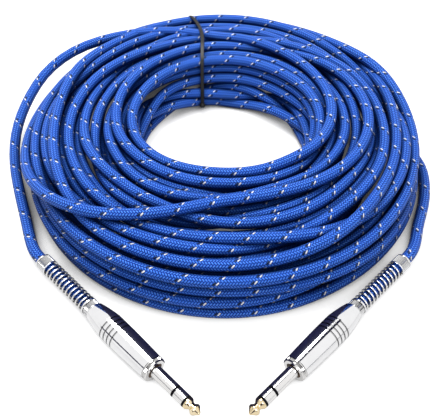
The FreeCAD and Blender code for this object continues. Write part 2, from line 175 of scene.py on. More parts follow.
class Shader(Nodes):
    """One material and its nodes."""

    def __init__(self, name):
        self.material = bpy.data.materials.new(name)
        self.material.use_nodes = True
        super().__init__(self.material.node_tree)
        self.tree.nodes.clear()
        self.out = self.add("ShaderNodeOutputMaterial")

    def surface(self, **inputs):
        inputs = {name.replace("_", " "): value for name, value in inputs.items()}
        self.link(self.made("ShaderNodeBsdfPrincipled", inputs), self.out.inputs["Surface"])
        return self.material

    def objects_place(self):
        return self.add("ShaderNodeTexCoord").outputs["Object"]

    def noise(self, place, scale, detail=2.0, roughness=0.5):
        inputs = {"Vector": place, "Scale": scale, "Detail": detail, "Roughness": roughness}
        return self.add("ShaderNodeTexNoise", inputs).outputs["Fac"]

    def openness(self, distance, samples=8):
        """1 where nothing is near, and less in gaps and grooves."""
        node = self.add("ShaderNodeAmbientOcclusion", {"Distance": distance}, samples=samples)
        return node.outputs["AO"]

    def scaled(self, value, low, high, to_low, to_high):
        inputs = {"Value": value, "From Min": low, "From Max": high, "To Min": to_low, "To Max": to_high}
        return self.made("ShaderNodeMapRange", inputs)

    def colours(self, share, *stops):
        node = self.add("ShaderNodeValToRGB", {"Fac": share})
        ramp = node.color_ramp
        while len(ramp.elements) < len(stops):
            ramp.elements.new(0.5)
        for element, (position, colour) in zip(ramp.elements, stops):
            element.position = position
            element.color = (*colour, 1.0)
        return node.outputs["Color"]

    def blend(self, share, first, second):
        inputs = {"Factor": share}
        first_colour, second_colour = 6, 7
        for index, value in ((first_colour, first), (second_colour, second)):
            inputs[index] = value if isinstance(value, bpy.types.NodeSocket) else (*value, 1.0)
        return self.add("ShaderNodeMix", inputs, data_type="RGBA").outputs[2]

    def bump(self, height, distance, strength, below=None):
        inputs = {"Height": height, "Distance": distance, "Strength": strength}
        if below is not None:
            inputs["Normal"] = below
        return self.made("ShaderNodeBump", inputs)


def piece(name, mesh, body, material=None):
    """A finished mesh as an object that moves with a body."""
    obj = bpy.data.objects.new(name, mesh)
    bpy.context.scene.collection.objects.link(obj)
    if material is not None:
        mesh.materials.clear()
        mesh.materials.append(material)
    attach(obj, body)
    return obj


def plug_way(side):
    angle = math.radians(PLUG_ANGLE[side])
    return Vector((math.cos(angle), math.sin(angle), 0.0))


def plug_point(side, x):
    """A point of the plug's axis, x behind the pin's shoulder, from the coil's centre."""
    return Vector(PLUG_TIP[side]) + plug_way(side) * (PIN_LEN + x)


def plug_place(side):
    """From a plug's own millimetres, with X along its axis to the rear, to the object's metres."""
    shoulder = (plug_point(side, 0) + COIL_CENTRE) * MM
    turn = Matrix.Rotation(math.radians(PLUG_ANGLE[side]), 4, "Z")
    return Matrix.Translation(shoulder) @ turn @ Matrix.Scale(MM, 4)


def softened(outline, reach):
    """The closed outline with each corner replaced by a short curve."""
    points = [Vector((x, r)) for x, r in outline]
    most_of_edge = 0.4
    result = []
    for before, corner, after in zip(points[-1:] + points[:-1], points, points[1:] + points[:1]):
        to_before, to_after = before - corner, after - corner
        cut = min(reach, most_of_edge * to_before.length, most_of_edge * to_after.length)
        start = corner + to_before.normalized() * cut
        end = corner + to_after.normalized() * cut
        for share in (0.0, 0.25, 0.5, 0.75, 1.0):
            result.append(start * (1 - share) ** 2 + corner * 2 * share * (1 - share) + end * share ** 2)
    return result


def lathed(name, outline, sides=96):
    """A ring turned about X from a closed outline of (x, r) points."""
    bm = bmesh.new()
    rings = []
    for p in outline:
        ring = []
        for k in range(sides):
            angle = 2 * math.pi * k / sides
            ring.append(bm.verts.new((p[0], p[1] * math.cos(angle), p[1] * math.sin(angle))))
        rings.append(ring)
    for here, there in zip(rings, rings[1:] + rings[:1]):
        for k in range(sides):
            bm.faces.new((here[k], here[k - 1], there[k - 1], there[k]))
    bmesh.ops.recalc_face_normals(bm, faces=bm.faces)
    mesh = bpy.data.meshes.new(name)
    bm.to_mesh(mesh)
    bm.free()
    mesh.polygons.foreach_set("use_smooth", [True] * len(mesh.polygons))
    mesh.set_sharp_from_angle(angle=math.radians(40))
    return mesh


def quad(name, corners):
    """One flat face."""
    mesh = bpy.data.meshes.new(name)
    mesh.from_pydata(corners, [], [(0, 1, 2, 3)])
    return mesh


def joined(name, meshes):
    """Several meshes as one."""
    bm = bmesh.new()
    for mesh in meshes:
        bm.from_mesh(mesh)
        bpy.data.meshes.remove(mesh)
    result = bpy.data.meshes.new(name)
    bm.to_mesh(result)
    bm.free()
    return result


class Growth(Nodes):
    """A geometry node tree with named inputs that ends in plain geometry with a material."""

    def __init__(self, name, inputs):
        super().__init__(bpy.data.node_groups.new(name, "GeometryNodeTree"))
        self.tree.interface.new_socket("Geometry", in_out="INPUT", socket_type="NodeSocketGeometry")
        for label, kind, default in inputs + [("Material", "NodeSocketMaterial", None)]:
            socket = self.tree.interface.new_socket(label, in_out="INPUT", socket_type=kind)
            if default is not None:
                socket.default_value = default
        self.tree.interface.new_socket("Geometry", in_out="OUTPUT", socket_type="NodeSocketGeometry")
        self.start = self.add("NodeGroupInput")

    def given(self, label):
        return self.start.outputs[label]

    def laid_along_x(self, geometry, shift):
        inputs = {"Geometry": geometry, "Rotation": (0, math.pi / 2, 0), "Translation": shift}
        return self.made("GeometryNodeTransform", inputs)

    def close(self, geometry):
        real = self.made("GeometryNodeRealizeInstances", {"Geometry": geometry})
        inputs = {"Geometry": real, "Material": self.given("Material")}
        self.add("NodeGroupOutput", {0: self.made("GeometryNodeSetMaterial", inputs)})

    def mesh(self, name, values):
        """The tree's result for these input values, as a plain mesh."""
        obj = bpy.data.objects.new(name, bpy.data.meshes.new(name))
        bpy.context.scene.collection.objects.link(obj)
        modifier = obj.modifiers.new("growth", "NODES")
        modifier.node_group = self.tree
        for item in self.tree.interface.items_tree:
            if item.item_type == "SOCKET" and item.in_out == "INPUT" and item.name in values:
                modifier[item.identifier] = values[item.name]
        graph = bpy.context.evaluated_depsgraph_get()
        result = bpy.data.meshes.new_from_object(obj.evaluated_get(graph))
        obj.modifiers.remove(modifier)
        bpy.data.objects.remove(obj)
        if not len(result.polygons):
            raise RuntimeError(name + " came out empty")
        return result


# The cord's line

def section_path(turn, fraction):
    """Radius and height on the bundle's path after so many turns, at that fraction of a turn."""
    keys = np.array([row[0] for row in BUNDLE])
    front, left, back, right = 1, 2, 3, 4
    sides = np.array([[row[side] for row in BUNDLE] for side in (left, back, right, front)])
    quarter = (fraction * 4) % 4
    low = np.floor(quarter).astype(int) % 4
    share = (1 - np.cos(np.pi * (quarter - np.floor(quarter)))) / 2
    index = np.arange(len(turn))
    result = np.zeros((len(turn), 2))
    for c in range(2):
        per_side = np.array([np.interp(turn, keys, sides[s][:, c]) for s in range(4)])
        result[:, c] = per_side[low, index] * (1 - share) + per_side[(low + 1) % 4, index] * share
    return result


def wander(turn, random, step):
    """Smooth noise along the turns, from -1 to 1."""
    values = random.uniform(-1, 1, int((turn.max() - turn.min()) / step) + 3)
    x = (turn - turn.min()) / step
    i = np.floor(x).astype(int)
    share = (1 - np.cos(np.pi * (x - i))) / 2
    return values[i] * (1 - share) + values[i + 1] * share


def smoothed(values, reach):
    """Values smoothed along the cord, with both ends held."""
    width = int(3 * reach) + 1
    weights = np.exp(-0.5 * (np.arange(-width, width + 1) / reach) ** 2)
    weights /= weights.sum()
    padded = np.pad(values, ((width, width), (0, 0)), "edge")
    return np.stack([np.convolve(padded[:, c], weights, "valid") for c in range(values.shape[1])], 1)


def through(x, stations):
    """A smooth line through the stations' values."""
    table = np.array(stations)
    xs, ys = table[:, 0], table[:, 1:]
    i = np.clip(np.searchsorted(xs, x) - 1, 0, len(xs) - 2)
    before, after = np.clip(i - 1, 0, None), np.clip(i + 2, None, len(xs) - 1)
    span = xs[i + 1] - xs[i]
    f = np.clip((x - xs[i]) / span, 0, 1)[:, None]
    start = (ys[i + 1] - ys[before]) * (span / (xs[i + 1] - xs[before]))[:, None]
    end = (ys[after] - ys[i]) * (span / (xs[after] - xs[i]))[:, None]
    return (ys[i] * (2 * f ** 3 - 3 * f ** 2 + 1) + start * (f ** 3 - 2 * f ** 2 + f)
            + ys[i + 1] * (3 * f ** 2 - 2 * f ** 3) + end * (f ** 3 - f ** 2))


def pushed_apart(place, hidden, rows):
    """How far each point moves so that neighbouring turns stop overlapping."""
    move = np.zeros_like(place)
    for members in rows:
        p = place[members]
        out = p[:, None, 0] - p[None, :, 0]
        up = p[:, None, 1] - p[None, :, 1]
        overlap = np.clip(CORD_D * CLEARANCE - np.hypot(out, up), 0, None)
        np.fill_diagonal(overlap, 0)
        if not overlap.any():
            continue
        shown = 1 - hidden[members]
        earlier = np.sign(members[None, :] - members[:, None]) * shown[:, None] * shown[None, :]
        deeper = hidden[members][None, :] - hidden[members][:, None]
        up = up + LIFT_OVER_LATER * (earlier + 2 * deeper)
        distance = np.hypot(out, up) + 1e-9
        move[members, 0] += (overlap * out / distance).sum(1) * PUSH
        move[members, 1] += (overlap * up / distance).sum(1) * PUSH
    reach = 2.0
    return smoothed(move, reach)


def coil_turns(looseness, seed):
    """The coil's points: each turn wanders through the bundle, and lies on and beside the others."""
    random = np.random.default_rng(seed)
    count = int(round((LAST_TURN - FIRST_TURN) * POINTS_PER_TURN)) + 1
    turn = FIRST_TURN + np.arange(count) / POINTS_PER_TURN
    long_wave, short_wave, short_share = 0.4, 0.2, 0.4
    wish = looseness * wander(turn, random, long_wave)
    wish = wish + short_share * looseness * wander(turn, random, short_wave)
    wish = turn + wish * np.clip(LAST_TURN - turn, 0, 1)
    last_laid = TOP_TURNS[-1][0]
    laid = turn < last_laid
    rows = [np.arange(j, count, POINTS_PER_TURN) for j in range(POINTS_PER_TURN)]
    rank = turn.copy()
    for members in rows:
        ranked = members[~laid[members]]
        rank[ranked[np.argsort(wish[ranked], kind="stable")]] = turn[ranked]
    place = section_path(rank, turn % 1.0)
    place[laid] = through(turn[laid], TOP_TURNS)
    calm, lightly_calm = 4.0, 1.2
    place[~laid] = smoothed(place, calm)[~laid]
    before_joint, after_joint = 0.1, 0.25
    joint = (turn > last_laid - before_joint) & (turn < last_laid + after_joint)
    place[joint] = smoothed(place, calm)[joint]
    first, last = HIDDEN_TURNS
    fade = 0.4
    hidden = np.clip(np.minimum(rank - first, last - rank) / fade, 0, 1)
    hidden = smoothed(hidden[:, None], calm)[:, 0]
    wanted = place + np.outer(hidden, (0, HIDDEN_LIFT))
    pull = PULL - PULL_LESS_HIDDEN * hidden
    for number in range(SETTLING_ROUNDS):
        place = place + pushed_apart(place, hidden, rows)
        place[:, 0] += (wanted[:, 0] - place[:, 0]) * pull
        place[:, 1] += (wanted[:, 1] - place[:, 1]) * PULL
        if (number + 1) % SMOOTH_EVERY == 0:
            place = smoothed(place, lightly_calm)
        place[:, 1] = np.clip(place[:, 1], CORD_R, BUNDLE_TOP)
    angle = np.pi - 2 * np.pi * turn
    line = np.stack([place[:, 0] * np.cos(angle), place[:, 0] * np.sin(angle), place[:, 1]], 1)
    return [Vector(p) for p in line[::POINT_EVERY]]


def cord_route(looseness, seed):
    """The cord's control points from inside the left plug to inside the right one."""
    straight = (CORD_IN_PLUG, CORD_IN_SPRING, CAP_END, CORD_OUT)
    route = [plug_point("a", x) for x in straight]
    route += [Vector(p) for p in LEAD_A]
    route += coil_turns(looseness, seed)
    route += [Vector(p) for p in LEAD_B]
    route += [plug_point("b", x) for x in straight[::-1]]
    return [(p + COIL_CENTRE) * MM for p in route]


def nurbs_line(points):
    """Points along the one smooth curve that the control points draw."""
    curve = bpy.data.curves.new("cord_line", "CURVE")
    curve.dimensions = "3D"
    curve.resolution_u = 3
    spline = curve.splines.new("NURBS")
    spline.points.add(len(points) - 1)
    for target, p in zip(spline.points, points):
        target.co = (*p, 1.0)
    spline.order_u = 3
    spline.use_endpoint_u = True
    obj = bpy.data.objects.new("cord_line", curve)
    bpy.context.scene.collection.objects.link(obj)
    line = bpy.data.meshes.new_from_object(obj.evaluated_get(bpy.context.evaluated_depsgraph_get()))
    path = np.array([v.co for v in line.vertices], float)
    bpy.data.objects.remove(obj)
    bpy.data.meshes.remove(line)
    keep = np.concatenate([[True], np.linalg.norm(np.diff(path, axis=0), axis=1) > 1e-6])
    return path[keep]


def cord_mesh(path, radius, lay, sides=24):
    """A tube along the path, with a UV map that counts once round it and in lays of the braid along it."""
    along = np.gradient(path, axis=0)
    along /= np.linalg.norm(along, axis=1)[:, None]
    across = np.zeros_like(path)
    side = np.cross(along[0], (0, 0, 1))
    for i, way in enumerate(along):
        side = side - way * side.dot(way)
        side /= np.linalg.norm(side)
        across[i] = side
    third = np.cross(along, across)
    angle = 2 * np.pi * np.arange(sides) / sides
    rings = (path[:, None] + radius * (across[:, None] * np.cos(angle)[None, :, None]
                                       + third[:, None] * np.sin(angle)[None, :, None]))
    count = len(path)
    i, k = np.meshgrid(np.arange(count - 1), np.arange(sides), indexing="ij")
    after = (k + 1) % sides
    quads = np.stack([i * sides + k, i * sides + after, (i + 1) * sides + after, (i + 1) * sides + k], -1)
    faces = quads.reshape(-1, 4).tolist()
    faces += [list(range(sides))[::-1], [(count - 1) * sides + j for j in range(sides)]]
    mesh = bpy.data.meshes.new("braided_cord")
    mesh.from_pydata(rings.reshape(-1, 3).tolist(), [], faces)
    run = np.concatenate([[0], np.cumsum(np.linalg.norm(np.diff(path, axis=0), axis=1))]) / lay
    round_uv = np.stack([k, k + 1, k + 1, k], -1) / sides
    along_uv = np.stack([run[i], run[i], run[i + 1], run[i + 1]], -1)
    uv = np.stack([round_uv, along_uv], -1).reshape(-1, 2)
    ends = np.zeros((2 * sides, 2))
    layer = mesh.uv_layers.new(name="braid")
    layer.data.foreach_set("uv", np.concatenate([uv, ends]).ravel().astype(np.float32))
    mesh.polygons.foreach_set("use_smooth", [True] * (len(faces) - 2) + [False] * 2)
    mesh.update()
    return mesh


# Materials

def woven(s, around, along, strands):
    """Strands over two and under two: height, lens, whether a left strand is on top, and its number."""
    period, floats = 4.0, 2.0
    left = s.math("MULTIPLY", s.math("ADD", around, along), strands)
    right = s.math("MULTIPLY", s.math("SUBTRACT", around, along), strands)
    left_strand, right_strand = s.math("FLOOR", left), s.math("FLOOR", right)
    left_across, right_across = s.math("FRACT", left), s.math("FRACT", right)
    column = s.math("FLOORED_MODULO", s.math("ADD", left_strand, right_strand), period)
    left_on_top = s.math("LESS_THAN", column, floats - 0.5)
    right_on_top = s.math("SUBTRACT", 1.0, left_on_top)

    def whichever(when_left, when_right):
        return s.math("ADD", s.math("MULTIPLY", when_left, left_on_top),
                      s.math("MULTIPLY", when_right, right_on_top))

    def half_wave(share):
        return s.math("SINE", s.math("MULTIPLY", share, math.pi))

    across = whichever(left_across, right_across)
    over_left = s.math("MULTIPLY", s.math("ADD", column, right_across), 1 / floats)
    right_column = s.math("SUBTRACT", column, floats)
    over_right = s.math("MULTIPLY", s.math("ADD", right_column, left_across), 1 / floats)
    crown = half_wave(across)
    arch = half_wave(whichever(over_left, over_right))
    yarns_in_strand, yarn_height = 3, 0.12
    yarns = s.math("ABSOLUTE", s.math("SINE", s.math("MULTIPLY", across, yarns_in_strand * math.pi)))
    strand = s.math("MULTIPLY", s.math("POWER", crown, 0.5), s.math("POWER", arch, 0.45))
    height = s.math("ADD", strand, s.math("MULTIPLY", yarns, yarn_height))
    lens = s.math("MULTIPLY", crown, s.math("POWER", arch, 0.25))
    return height, lens, left_on_top, left_strand


def braid_material(sizes):
    """The blue braid with one white and one black tracer side by side, with painted shade between the
    strands and where turns touch, and a painted highlight along each strand's crown.
    """
    s = Shader("blue_braid")
    uv = s.add("ShaderNodeUVMap", uv_map="braid").outputs["UV"]
    parts = s.add("ShaderNodeSeparateXYZ", {0: uv}).outputs
    height, lens, left_on_top, left_strand = woven(s, parts["X"], parts["Y"], sizes.strands)
    # Painted shade and highlight: by the weave's height, the colour runs from a near-black blue in the gaps
    # between strands to a lighter blue on the crowns.
    shade = s.scaled(height, 0.45, 1.05, 0.0, 1.0)
    patch = s.noise(s.objects_place(), 90.0)
    painted_gap_shade = (0.003, 0.012, 0.15)
    blue = s.colours(shade, (0.0, painted_gap_shade), (0.55, sizes.blue), (1.0, sizes.painted_crown_highlight))
    blue = s.blend(s.scaled(patch, 0.3, 0.7, 0.0, 0.35), blue, sizes.deep_blue)
    # Painted shade: where turns touch, the colour goes towards a tenth of the deeper blue and the shine
    # drops.
    painted_shade_between_turns = s.scaled(s.openness(0.016), 0.3, 0.95, 0.97, 0.0)
    which = s.math("FLOORED_MODULO", left_strand, float(sizes.strands))
    shown = s.math("MULTIPLY", left_on_top, s.math("GREATER_THAN", lens, 0.45))
    white_strand, black_strand = 0.0, 1.0
    white = s.math("MULTIPLY", s.math("COMPARE", which, white_strand, 0.5), shown)
    black = s.math("MULTIPLY", s.math("COMPARE", which, black_strand, 0.5), shown)
    colour = s.blend(black, blue, sizes.black)
    colour = s.blend(white, colour, sizes.white)
    # Painted shade between turns, laid over the braid's colour.
    colour = s.blend(painted_shade_between_turns, colour, [0.1 * c for c in sizes.deep_blue])
    fibres = s.noise(uv, 400.0, 1.0)
    normal = s.bump(height, 0.0005, 1.0)
    normal = s.bump(fibres, 0.00003, 0.4, normal)
    rough = s.scaled(shade, 0.0, 1.0, 0.7, 0.24)
    shine = s.scaled(painted_shade_between_turns, 0.0, 0.9, 0.75, 0.05)
    return s.surface(Base_Color=colour, Roughness=rough, Normal=normal, Specular_IOR_Level=shine,
                     Specular_Tint=(0.3, 0.6, 1.0, 1.0))


def metal_material(name, colour, rough, grain, stain=None):
    """Plated metal with fine wear: rougher patches and hairline scratches, and painted shade darkening it in
    grooves, knurls and recesses.
    """
    s = Shader(name)
    place = s.objects_place()
    patches = s.noise(place, 140.0, 3.0)
    stretched = s.made("ShaderNodeMapping", {"Vector": place, "Scale": (6.0, 6.0, 1.0),
                                             "Rotation": (0.3, 0.2, 0.8)})
    hairs = s.noise(stretched, 700.0, 2.0, 0.7)
    tint = s.colours(patches, (0.35, colour), (0.75, stain or [0.94 * c for c in colour]))
    # Painted shade: the colour darkens towards 8% of itself in grooves, knurls and recesses.
    tint = s.blend(s.scaled(s.openness(0.001), 0.45, 0.9, 0.0, 1.0), [0.08 * c for c in colour], tint)
    worn = s.scaled(patches, 0.4, 0.75, rough, rough + 0.06)
    worn = s.math("ADD", worn, s.scaled(hairs, 0.55, 0.8, 0.0, 0.08))
    normal = s.bump(hairs, 0.00002, grain)
    return s.surface(Base_Color=tint, Metallic=1.0, Roughness=worn, Normal=normal)


def plain_material(name, colour, rough, scale, relief, other=None, **settings):
    """Moulded or pressed stuff with a fine grain and a slight change of tone."""
    s = Shader(name)
    place = s.objects_place()
    grain = s.noise(place, scale, 3.0, 0.6)
    patches = s.noise(place, scale / 8)
    tint = s.colours(patches, (0.35, colour), (0.7, other or [0.8 * c for c in colour]))
    worn = s.scaled(grain, 0.3, 0.7, rough - 0.05, rough + 0.08)
    normal = s.bump(grain, relief, 0.6)
    return s.surface(Base_Color=tint, Roughness=worn, Normal=normal, **settings)


def twisted_material(name, colour, dark):
    """Bare wire of fine twisted strands."""
    s = Shader(name)
    inputs = {"Vector": s.objects_place(), "Scale": 900.0, "Distortion": 0.4}
    wave = s.add("ShaderNodeTexWave", inputs, bands_direction="DIAGONAL").outputs["Fac"]
    tint = s.colours(wave, (0.1, dark), (0.6, colour))
    normal = s.bump(wave, 0.00006, 0.8)
    return s.surface(Base_Color=tint, Metallic=1.0, Roughness=0.3, Normal=normal)


def finish_nodes(slot, make, colour, **settings):
    """Makes a slot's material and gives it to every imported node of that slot."""
    material = make(slot, colour, **settings)
    for row in frame["record"]["subparts"]:
        if row["material_slot"] == slot:
            for place in NODES[row["node"]].material_slots:
                place.material = material
    return material


# Settings

def size(label, note, value):
    return FloatProperty(name=label, description=note, default=value, min=0.0, unit="LENGTH", precision=5)


def tint(label, note, value):
    return FloatVectorProperty(name=label, description=note, default=value, size=3, min=0.0, max=1.0,
                               subtype="COLOR")


def power(label, note, value):
    return FloatProperty(name=label, description=note, default=value, min=0.0, unit="POWER")


def amount(label, note, value, least=0.0):
    return FloatProperty(name=label, description=note, default=value, min=least)


def count(label, note, value, least=0):
    return IntProperty(name=label, description=note, default=value, min=least)


class CordSizes(PropertyGroup):
    """The cord, its braid and how loosely it is coiled."""

    lay: size("Braid lay", "Length of cord in which a strand goes once round it", 0.0188)
    strands: count("Strands", "Strands that wind each way round the cord", 12, least=4)
    looseness: amount("Looseness", "How many turns a turn wanders from its place", 1.8)
    seed: count("Seed", "Which way the turns wander", 56)
    blue: tint("Braid", "Colour of the strands", (0.018, 0.135, 0.95))
    # Painted highlight: the lighter blue laid along the middle of each strand.
    painted_crown_highlight: tint("Braid's crowns", "Lighter tone along the middle of each strand", (0.13, 0.37, 1.0))
    deep_blue: tint("Braid in patches", "Deeper tone of the strands", (0.017, 0.115, 0.76))
    white: tint("White tracer", "Colour of the white strand", (1.0, 1.0, 1.0))
    black: tint("Black tracer", "Colour of the black strand", (0.008, 0.009, 0.014))


class TieSizes(PropertyGroup):
    """The strap round the coil's back."""

    width: size("Width", "Width of the strap", 0.0023)
    thickness: size("Thickness", "Thickness of the strap", 0.0008)
    black: tint("Strap", "Colour of the strap", (0.006, 0.006, 0.007))


class PlugSizes(PropertyGroup):
    """The plugs' knurls, springs and plating."""

    flange_teeth: count("Flange teeth", "Teeth round the plug body's flange", 72, least=8)
    grip_teeth: count("Grip teeth", "Teeth round each collar and end cap", 48, least=8)
    curls: amount("Curls", "Turns of each strain relief spring", 11.25, least=1.0)
    wire: size("Wire", "Radius of the spring's wire", 0.00048)
    chrome: tint("Chrome", "Colour of the chrome plate", (0.90, 0.90, 0.91))
    nickel: tint("Nickel", "Colour of the nickel plate", (0.86, 0.85, 0.84))
    gold: tint("Gold", "Colour of the gold plate", (0.93, 0.80, 0.55))


class StageSizes(PropertyGroup):
    """The studio."""

    floor: tint("Floor", "Colour of the floor", (0.5, 0.5, 0.5))
    key: power("Key lamp", "Power of the lamp overhead", 7.8)
    fill: power("Fill lamp", "Power of the lamp in front", 3.8)
    sky: amount("Sky", "Strength of the even light from all round", 0.08)


# Operators

class CABLE_OT_camera(Operator):
    """Places the camera above and in front of the plugs' tips"""
    bl_idname = "cable.camera"
    bl_label = "Camera"

    def execute(self, context):
        data = bpy.data.cameras.new("studio_camera")
        data.sensor_width = SENSOR_WIDTH
        data.lens = SENSOR_WIDTH * FOCAL_PIXELS / PICTURE_WIDTH
        data.clip_start = 0.01
        camera = bpy.data.objects.new("studio_camera", data)
        camera.location = Vector(CAMERA_PLACE) * MM
        camera.rotation_euler = (math.radians(CAMERA_TILT), 0, 0)
        context.scene.collection.objects.link(camera)
        context.scene.camera = camera
        return {"FINISHED"}


class CABLE_OT_cord(Operator):
    """Winds the braided cord from plug to plug"""
    bl_idname = "cable.cord"
    bl_label = "Cord"

    def execute(self, context):
        sizes = context.scene.cable_cord
        path = nurbs_line(cord_route(sizes.looseness, sizes.seed))
        mesh = cord_mesh(path, CORD_R * MM, sizes.lay)
        cord = piece("braided_cord", mesh, ROOT, braid_material(sizes))
        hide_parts("coil", "lead_a", "lead_b", "cable_end_a", "cable_end_b")
        return {"FINISHED"}


def strap_lean(y):
    """Where the strap lies to the side, at each distance behind the coil's centre."""
    inner_side, lean, straight_to, outside = -13.5, 9.3, 75.0, 110.0
    return inner_side - lean * np.clip((y - straight_to) / (outside - straight_to), 0, 1) ** 2


def loop_ways(loop):
    """The outward direction at each point of the closed loop."""
    along = np.roll(loop, -1, 0) - np.roll(loop, 1, 0)
    return np.stack([along[:, 1], -along[:, 0]], 1) / np.linalg.norm(along, axis=1)[:, None]


def strap_loop(points, thickness):
    """The strap's middle line, pulled tight round the cord's points."""
    ordered = sorted(map(tuple, points))
    hull = []
    for way in (ordered, ordered[::-1]):
        chain = []
        for p in way:
            while len(chain) > 1 and ((chain[-1][0] - chain[-2][0]) * (p[1] - chain[-2][1])
                                      - (chain[-1][1] - chain[-2][1]) * (p[0] - chain[-2][0])) <= 0:
                chain.pop()
            chain.append(p)
        hull += chain[:-1]
    corners = np.array(hull + hull[:1])
    run = np.concatenate([[0], np.cumsum(np.linalg.norm(np.diff(corners, axis=0), axis=1))])
    points_round, smoothing_rounds = 180, 6
    steps = np.linspace(0, run[-1], points_round, endpoint=False)
    loop = np.stack([np.interp(steps, run, corners[:, c]) for c in range(2)], 1)
    for _ in range(smoothing_rounds):
        loop = (np.roll(loop, 1, 0) + 2 * loop + np.roll(loop, -1, 0)) / 4
    off_cord, off_floor = 0.15, 0.02
    loop = loop + loop_ways(loop) * (thickness / 2 + off_cord)
    loop[:, 1] = np.clip(loop[:, 1], thickness / 2 + off_floor, None)
    return loop


def strap_mesh(loop, width, thickness):
    """A flat band with rounded edges round the closed loop."""
    half, thin = width / 2, thickness / 2
    edge = 0.5 * thin
    profile = [(-half, -edge), (-half + edge, -thin), (half - edge, -thin), (half, -edge),
               (half, edge), (half - edge, thin), (-half + edge, thin), (-half, edge)]
    sides = len(profile)
    bm = bmesh.new()
    rings = []
    for (back, up), way in zip(loop, loop_ways(loop)):
        rings.append([bm.verts.new((strap_lean(back) + sideways, back + way[0] * out, up + way[1] * out))
                      for sideways, out in profile])
    for here, there in zip(rings, rings[1:] + rings[:1]):
        for k in range(sides):
            after = (k + 1) % sides
            bm.faces.new((here[k], here[after], there[after], there[k]))
    bmesh.ops.recalc_face_normals(bm, faces=bm.faces)
    mesh = bpy.data.meshes.new("strap")
    bm.to_mesh(mesh)
    bm.free()
    mesh.polygons.foreach_set("use_smooth", [True] * len(mesh.polygons))
    mesh.set_sharp_from_angle(angle=math.radians(35))
    return mesh


def strap_head(inner):
    """The small rounded head, low on the strap's inner side."""
    size_of_head, corner = (4.0, 2.4, 3.2), 0.7
    proud, height = 0.9, 6.5
    bm = bmesh.new()
    bmesh.ops.create_cube(bm, size=1.0)
    bmesh.ops.scale(bm, verts=bm.verts, vec=size_of_head)
    bmesh.ops.bevel(bm, geom=bm.edges, offset=corner, segments=3, affect="EDGES")
    bmesh.ops.translate(bm, verts=bm.verts, vec=(strap_lean(inner), inner - proud, height))
    mesh = bpy.data.meshes.new("strap_head")
    bm.to_mesh(mesh)
    bm.free()
    mesh.polygons.foreach_set("use_smooth", [True] * len(mesh.polygons))
    return mesh


def cord_under_strap():
    """The cord's points near the strap, as distances behind the coil's centre and heights."""
    opening, reach = 20, 2.5
    cord = bpy.data.objects["braided_cord"].data
    place = np.empty(3 * len(cord.vertices), np.float32)
    cord.vertices.foreach_get("co", place)
    place = place.reshape(-1, 3) / MM - np.array(COIL_CENTRE)
    near = (place[:, 1] > opening) & (np.abs(place[:, 0] - strap_lean(place[:, 1])) < reach)
    return place[near][:, 1:]


class CABLE_OT_tie(Operator):
    """Pulls the thin strap round the coil's back"""
    bl_idname = "cable.tie"
    bl_label = "Tie"

    def execute(self, context):
        sizes = context.scene.cable_tie
        material = plain_material("black_tie", sizes.black, rough=0.42, scale=900.0, relief=0.00004,
                                  Specular_IOR_Level=0.3)
        loop = strap_loop(cord_under_strap(), sizes.thickness / MM)
        band = strap_mesh(loop, sizes.width / MM, sizes.thickness / MM)
        mesh = joined("tie_strap", [band, strap_head(loop[:, 0].min())])
        mesh.transform(Matrix.Scale(MM, 4) @ Matrix.Translation(COIL_CENTRE))
        strap = piece("tie_strap", mesh, ROOT, material)
        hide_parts("cable_tie")
        return {"FINISHED"}


def knurl_growth():
    """Straight ridges side by side round the X axis."""
    g = Growth("knurl", [("Teeth", "NodeSocketInt", 40), ("Radius", "NodeSocketFloat", 4.25),
                         ("Start", "NodeSocketFloat", 0.0), ("Length", "NodeSocketFloat", 3.0)])
    edge_share, sunk_share = 0.72, 0.5
    pitch = g.math("DIVIDE", g.math("MULTIPLY", g.given("Radius"), 2 * math.pi), g.given("Teeth"))
    edge = g.math("MULTIPLY", pitch, edge_share)
    middle = g.math("SUBTRACT", g.given("Radius"), g.math("MULTIPLY", pitch, sunk_share))
    bar_size = g.made("ShaderNodeCombineXYZ", {"X": edge, "Y": edge, "Z": g.given("Length")})
    bar = g.made("GeometryNodeMeshCube", {"Size": bar_size})
    bar = g.made("GeometryNodeTransform", {"Geometry": bar, "Rotation": (0, 0, math.pi / 4)})
    ring = g.made("GeometryNodeMeshCircle", {"Vertices": g.given("Teeth"), "Radius": middle})
    place = g.made("GeometryNodeInputPosition")
    turn = g.made("FunctionNodeAlignRotationToVector", {"Vector": place}, axis="X", pivot_axis="Z")
    bars = g.made("GeometryNodeInstanceOnPoints", {"Points": ring, "Instance": bar, "Rotation": turn})
    centre = g.math("ADD", g.given("Start"), g.math("MULTIPLY", g.given("Length"), 0.5))
    shift = g.made("ShaderNodeCombineXYZ", {"X": centre})
    g.close(g.laid_along_x(bars, shift))
    return g


def spring_growth():
    """A wire wound round the X axis."""
    g = Growth("spring", [("Curls", "NodeSocketFloat", 11.0), ("Radius", "NodeSocketFloat", 4.2),
                          ("Wire", "NodeSocketFloat", 0.45), ("Start", "NodeSocketFloat", 0.0),
                          ("Length", "NodeSocketFloat", 32.0)])
    line = g.made("GeometryNodeCurveSpiral", {
        "Resolution": 40, "Rotations": g.given("Curls"), "Start Radius": g.given("Radius"),
        "End Radius": g.given("Radius"), "Height": g.given("Length")})
    ring = g.made("GeometryNodeCurvePrimitiveCircle", {"Resolution": 12, "Radius": g.given("Wire")})
    wire = g.made("GeometryNodeCurveToMesh", {"Curve": line, "Profile Curve": ring, "Fill Caps": True})
    smooth = g.made("GeometryNodeSetShadeSmooth", {"Geometry": wire})
    shift = g.made("ShaderNodeCombineXYZ", {"X": g.given("Start")})
    g.close(g.laid_along_x(smooth, shift))
    return g


